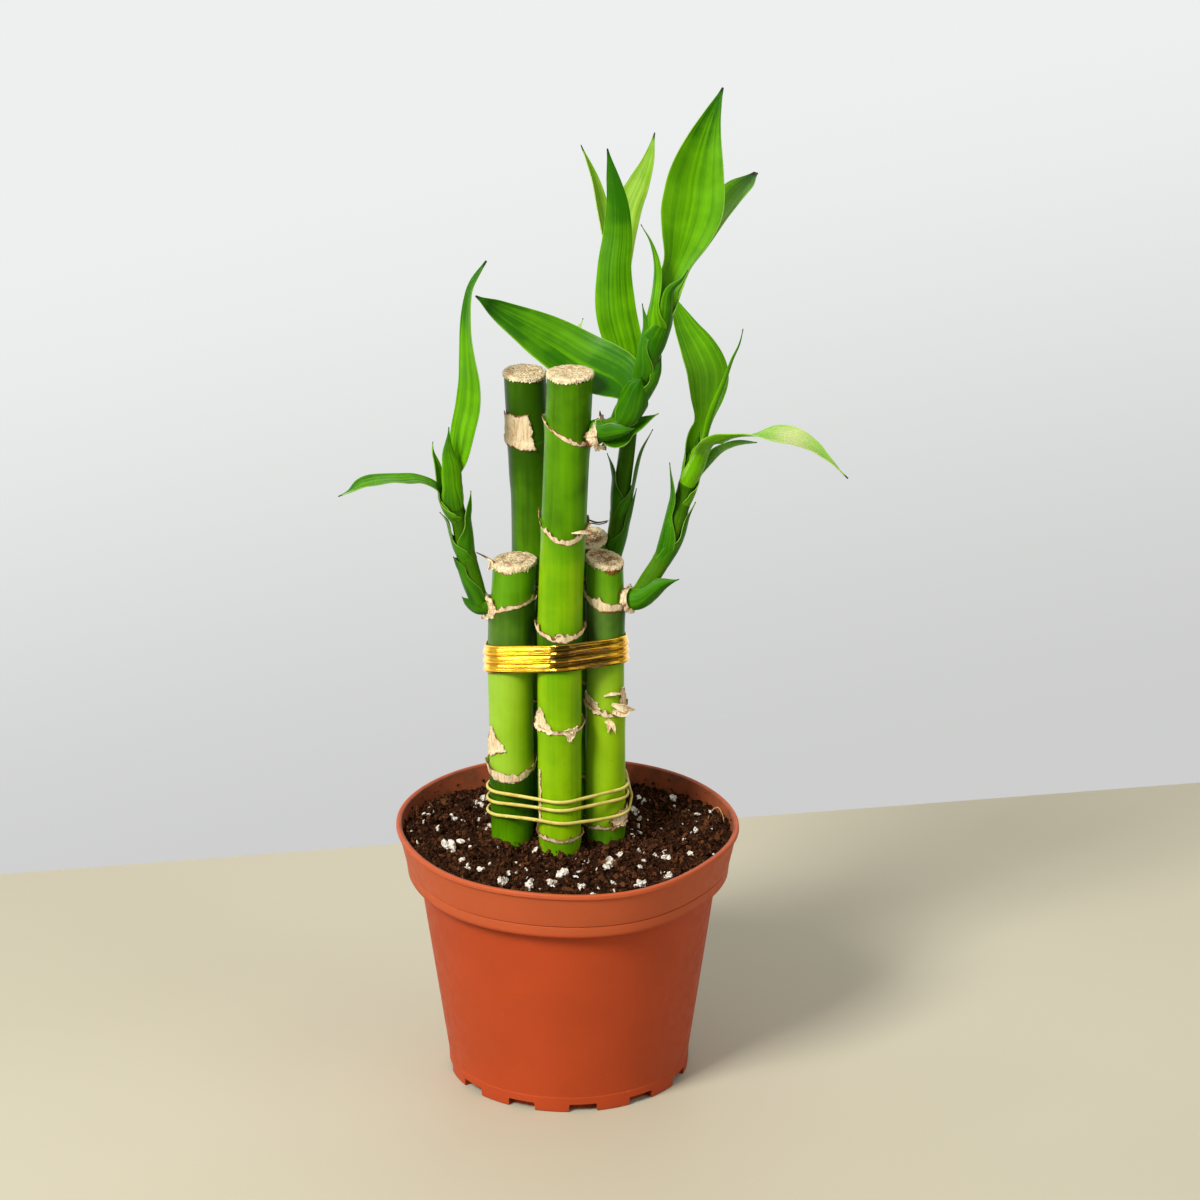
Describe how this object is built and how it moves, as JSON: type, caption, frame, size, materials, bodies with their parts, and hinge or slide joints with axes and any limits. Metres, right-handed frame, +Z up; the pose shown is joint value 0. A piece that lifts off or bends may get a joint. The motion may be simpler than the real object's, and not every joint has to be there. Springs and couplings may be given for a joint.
{
  "type": "potted lucky bamboo",
  "caption": "Cut green bamboo-like stalks with leafy shoots, tied in an upright bundle with gold ribbon and a rubber band, planted in soil in a round plastic nursery pot.",
  "frame": {"origin": "on the pot's axis, on the surface that the pot stands on", "axes": "+Z up along the stalks, +X to the viewer's right in the front view, +Y away from the viewer"},
  "size_m": [0.1537, 0.1077, 0.3181],
  "materials": {
    "pot_plastic": "terracotta polypropylene with a soft satin sheen",
    "potting_mix": "dark crumbly peat with coir fibres and white perlite",
    "stalk_skin": "smooth waxy green, with pale dry rings at the nodes and cut tops",
    "shoot_skin": "smooth waxy green",
    "leaf": "satin green with lighter lengthwise stripes",
    "young_leaf": "thin, pale yellow-green and translucent",
    "husk": "green sheath with pale edges and a dark tip",
    "gold_foil": "shiny metallic ribbon with fine ridges",
    "band_rubber": "matt pale yellow rubber"
  },
  "bodies": {
    "root": {"pot": "pot_plastic", "soil": "potting_mix", "stalk_front_left": "stalk_skin", "stalk_front_tall": "stalk_skin", "stalk_front_right": "stalk_skin", "stalk_rear_right": "stalk_skin", "stalk_rear_tall": "stalk_skin", "shoot_left": "shoot_skin", "shoot_right": "shoot_skin", "shoot_crown": "shoot_skin", "shoot_rear": "shoot_skin", "shoot_back": "shoot_skin", "left_scale": "husk", "left_husk": "husk", "left_bract_low": "husk", "left_bract_high": "husk", "left_leaf_reaching": "leaf", "left_leaf_side": "leaf", "left_leaf_young": "leaf", "left_leaf_twisted": "leaf", "right_husk": "husk", "right_bract_inner": "husk", "right_bract_outer": "husk", "right_leaf_small": "leaf", "right_leaf_arching": "leaf", "right_leaf_broad": "leaf", "right_leaf_rolled": "leaf", "crown_husk_low": "husk", "crown_scale": "husk", "crown_leaf_wide": "leaf", "crown_husk_front": "husk", "crown_husk_right": "husk", "crown_husk_left": "husk", "crown_leaf_rolled": "leaf", "crown_leaf_narrow": "leaf", "crown_leaf_behind": "leaf", "crown_leaf_top": "leaf", "rear_bract_low": "husk", "rear_bract_right": "husk", "rear_bract_left": "husk", "rear_leaf_upright": "leaf", "rear_leaf_pale_left": "young_leaf", "rear_leaf_sliver": "leaf", "rear_leaf_pale_right": "young_leaf", "back_leaf_reaching": "leaf", "back_leaf_side": "leaf", "back_leaf_upright": "leaf", "gold_tie": "gold_foil", "rubber_band": "band_rubber"}
  },
  "joints": []
}
